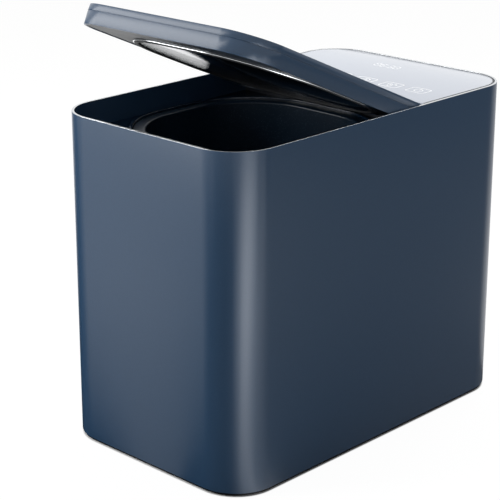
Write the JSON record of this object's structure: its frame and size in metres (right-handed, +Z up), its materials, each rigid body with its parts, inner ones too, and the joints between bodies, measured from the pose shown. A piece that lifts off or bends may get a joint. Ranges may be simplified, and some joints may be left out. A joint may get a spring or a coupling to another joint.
{
  "type": "electric food waste composter",
  "caption": "Tall rounded box with a hinged front lid, stirred bucket, touch panel, and a pull-out carbon filter at the rear.",
  "frame": {"origin": "middle of the footprint, on the table", "axes": "+Z up, -Y towards the front face, +X to the right seen from the front"},
  "size_m": [0.198, 0.3312, 0.3532],
  "materials": {
    "navy_shell": "satin painted navy",
    "black_plastic": "glossy black ABS",
    "grey_plastic": "moulded dark grey polypropylene",
    "black_rubber": "matt silicone rubber",
    "nonstick_bucket": "non-stick coated aluminium",
    "bronze": "sintered bronze",
    "cast_aluminium": "die-cast, bead blasted",
    "nonstick_steel": "non-stick coated cast steel",
    "steel": "ground steel",
    "acetal": "moulded acetal",
    "mineral_felt": "mineral fibre felt",
    "ceramic": "ceramic body",
    "panel_glass": "pale grey glass, back painted",
    "circuit_board": "green solder mask",
    "display_white": "diffuser",
    "inner_steel": "brushed stainless sheet",
    "silver_trim": "bright plated trim",
    "white_plastic": "moulded white polypropylene",
    "activated_carbon": "carbon-loaded open foam",
    "filter_fleece": "white particle fleece"
  },
  "bodies": {
    "housing": {"outer_shell": "navy_shell", "base_plate": "black_plastic", "rubber_feet": "black_rubber", "case_screws": "steel", "chamber_liner": "black_plastic", "bucket": "nonstick_bucket", "bucket_bush": "bronze", "bucket_seal": "black_rubber", "fixed_cutters": "steel", "heater_plate": "cast_aluminium", "insulation_pad": "mineral_felt", "thermostat": "ceramic", "gearbox_tray": "grey_plastic", "gearbox_cover": "grey_plastic", "gearbox_screws": "steel", "output_bushes": "bronze", "gear_axles": "steel", "motor_can": "steel", "bay_divider": "grey_plastic", "filter_bay": "grey_plastic", "air_duct": "grey_plastic", "fan_housing": "black_plastic", "fan_motor": "steel", "panel_frame": "black_plastic", "control_panel": "panel_glass", "touch_board": "circuit_board", "display_module": "display_white", "control_board": "circuit_board", "power_board": "circuit_board", "inlet_socket": "black_plastic", "switch_bezel": "black_plastic", "reed_switch": "ceramic", "hinge_knuckles": "navy_shell", "hinge_pins": "steel"},
    "lid": {"lid_cover": "navy_shell", "lid_inner_frame": "black_plastic", "lid_plate": "inner_steel", "lid_gasket": "black_rubber", "lid_trim": "silver_trim", "lid_magnet": "steel"},
    "stirrer": {"agitator": "nonstick_steel", "bucket_shaft": "steel", "agitator_nut": "steel", "upper_dog": "steel", "lower_dog": "steel", "output_shaft": "steel", "output_gear": "acetal"},
    "second_wheel": {"second_gear": "acetal"},
    "first_wheel": {"first_gear": "acetal"},
    "motor_rotor": {"motor_shaft": "steel", "motor_pinion": "bronze"},
    "fan_rotor": {"fan_impeller": "black_plastic"},
    "filter_drawer": {"filter_cover": "navy_shell", "drawer_carrier": "grey_plastic", "filter_frame": "white_plastic", "filter_cap": "white_plastic", "filter_cup": "white_plastic", "carbon_block": "activated_carbon", "filter_felt": "filter_fleece"},
    "rocker": {"power_rocker": "black_plastic"}
  },
  "joints": [
    {"name": "lid_hinge", "type": "hinge", "parent": "housing", "child": "lid", "pos_m": [0, 0.0438, 0.267], "axis": [-1, 0, 0], "range_deg": [-23.9, 54.1]},
    {"name": "stirrer_spin", "type": "hinge", "parent": "housing", "child": "stirrer", "pos_m": [0, -0.04485, 0.06], "axis": [0, 0, 1], "continuous": true},
    {"name": "second_gear_spin", "type": "hinge", "parent": "housing", "child": "second_wheel", "pos_m": [-0.00012, 0.01065, 0.03], "axis": [0, 0, 1], "continuous": true},
    {"name": "first_gear_spin", "type": "hinge", "parent": "housing", "child": "first_wheel", "pos_m": [0.04272, 0.02806, 0.02], "axis": [0, 0, 1], "continuous": true},
    {"name": "motor_spin", "type": "hinge", "parent": "housing", "child": "motor_rotor", "pos_m": [0.0496, 0.0738, 0.02], "axis": [0, 0, 1], "continuous": true},
    {"name": "fan_spin", "type": "hinge", "parent": "housing", "child": "fan_rotor", "pos_m": [0.061, 0.101, 0.19], "axis": [0, 1, 0], "continuous": true},
    {"name": "filter_slide", "type": "slide", "parent": "housing", "child": "filter_drawer", "axis": [0, 1, 0], "range_m": [0, 0.095]},
    {"name": "power_rocker_tilt", "type": "hinge", "parent": "housing", "child": "rocker", "pos_m": [0.046, 0.1585, 0.084], "axis": [1, 0, 0], "range_deg": [0, 16]}
  ],
  "couplings": [
    {"joint": "second_gear_spin", "follows": "stirrer_spin", "ratio": -4.2857},
    {"joint": "first_gear_spin", "follows": "stirrer_spin", "ratio": 18.367},
    {"joint": "motor_spin", "follows": "stirrer_spin", "ratio": -78.717}
  ]
}
